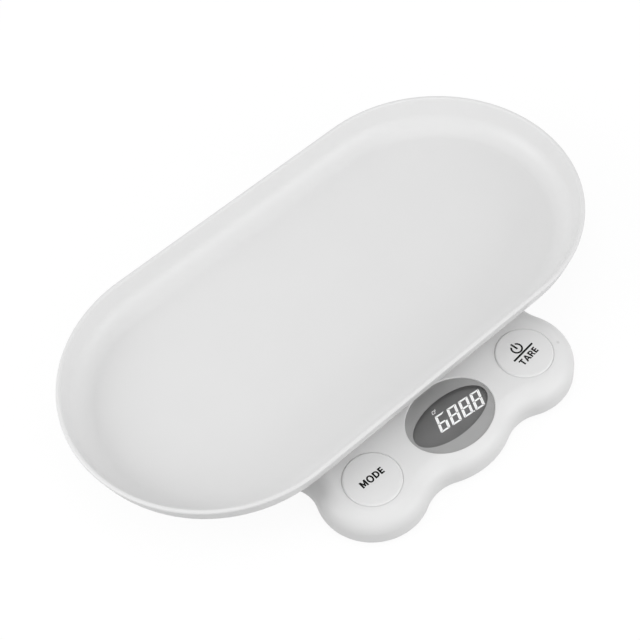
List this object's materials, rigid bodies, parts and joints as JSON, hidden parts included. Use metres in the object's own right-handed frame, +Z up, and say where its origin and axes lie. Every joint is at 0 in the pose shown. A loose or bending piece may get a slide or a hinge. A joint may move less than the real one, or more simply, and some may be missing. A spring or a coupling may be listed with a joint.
{
  "type": "digital kitchen scale",
  "caption": "Digital kitchen scale with a long round-ended tray on a low base, whose front control panel has rounded lobes, push buttons and an oval display window.",
  "frame": {"origin": "middle of the footprint, on the surface that the feet stand on", "axes": "+Z up, +X to the right along the tray's length, -Y towards the user and the control panel"},
  "size_m": [0.293, 0.1846, 0.0396],
  "materials": {
    "tray_white": "smooth satin",
    "platform_white": "fine matte",
    "zinc_steel": "zinc plated",
    "screw_steel": "plated",
    "cell_aluminium": "milled",
    "sealing_compound": "soft satin",
    "cable_sleeve": "satin",
    "housing_white": "fine matte",
    "cover_white": "fine spark texture",
    "foot_rubber": "matte",
    "clear_window": "clear gloss",
    "mask_grey": "printed",
    "display_dark": "gloss",
    "light_guide": "diffusing",
    "frame_white": "matte",
    "strip_rubber": "striped",
    "board_green": "solder mask",
    "potting_black": "gloss",
    "cell_jacket": "printed sleeve",
    "contact_plate": "nickel plated",
    "lead_insulation": "satin",
    "button_white": "smooth satin",
    "switch_black": "matte",
    "plunger_white": "matte"
  },
  "bodies": {
    "base": {"load_cell": "cell_aluminium", "gauge_coatings": "sealing_compound", "fixed_end_spacer": "zinc_steel", "fixed_end_screws": "screw_steel", "load_cell_cable": "cable_sleeve", "upper_housing": "housing_white", "lower_cover": "cover_white", "housing_screws": "screw_steel", "rubber_feet": "foot_rubber", "window_lens": "clear_window", "window_mask": "mask_grey", "display_glass": "display_dark", "display_backlight": "light_guide", "display_frame": "frame_white", "contact_strips": "strip_rubber", "circuit_board": "board_green", "board_screws": "screw_steel", "controller_blob": "potting_black", "battery_cells": "cell_jacket", "battery_contacts": "contact_plate", "battery_springs": "contact_plate", "battery_leads": "lead_insulation", "mode_switch_body": "switch_black", "tare_switch_body": "switch_black"},
    "platform": {"platform": "platform_white", "load_spider": "zinc_steel", "platform_screws": "screw_steel", "loaded_end_spacer": "zinc_steel", "loaded_end_screws": "screw_steel"},
    "tray": {"tray": "tray_white"},
    "mode_button": {"mode_button": "button_white", "mode_switch_plunger": "plunger_white"},
    "tare_button": {"tare_button": "button_white", "tare_switch_plunger": "plunger_white"},
    "battery_door": {"battery_door": "cover_white"}
  },
  "joints": [
    {"name": "platform_press", "type": "slide", "parent": "base", "child": "platform", "axis": [0, 0, -1], "range_m": [0, 0.0005], "stiffness_N_per_m": 20000, "springref_m": -0.0002, "deforming": ["load_cell"]},
    {"name": "tray_lift", "type": "slide", "parent": "platform", "child": "tray", "axis": [0, 0, 1], "range_m": [0, 0.03]},
    {"name": "mode_press", "type": "slide", "parent": "base", "child": "mode_button", "axis": [0, 0, -1], "range_m": [0, 0.0004], "stiffness_N_per_m": 600, "springref_m": -0.0015},
    {"name": "tare_press", "type": "slide", "parent": "base", "child": "tare_button", "axis": [0, 0, -1], "range_m": [0, 0.0004], "stiffness_N_per_m": 600, "springref_m": -0.0015},
    {"name": "battery_door_slide", "type": "slide", "parent": "base", "child": "battery_door", "axis": [0, 1, 0], "range_m": [0, 0.0259]}
  ]
}
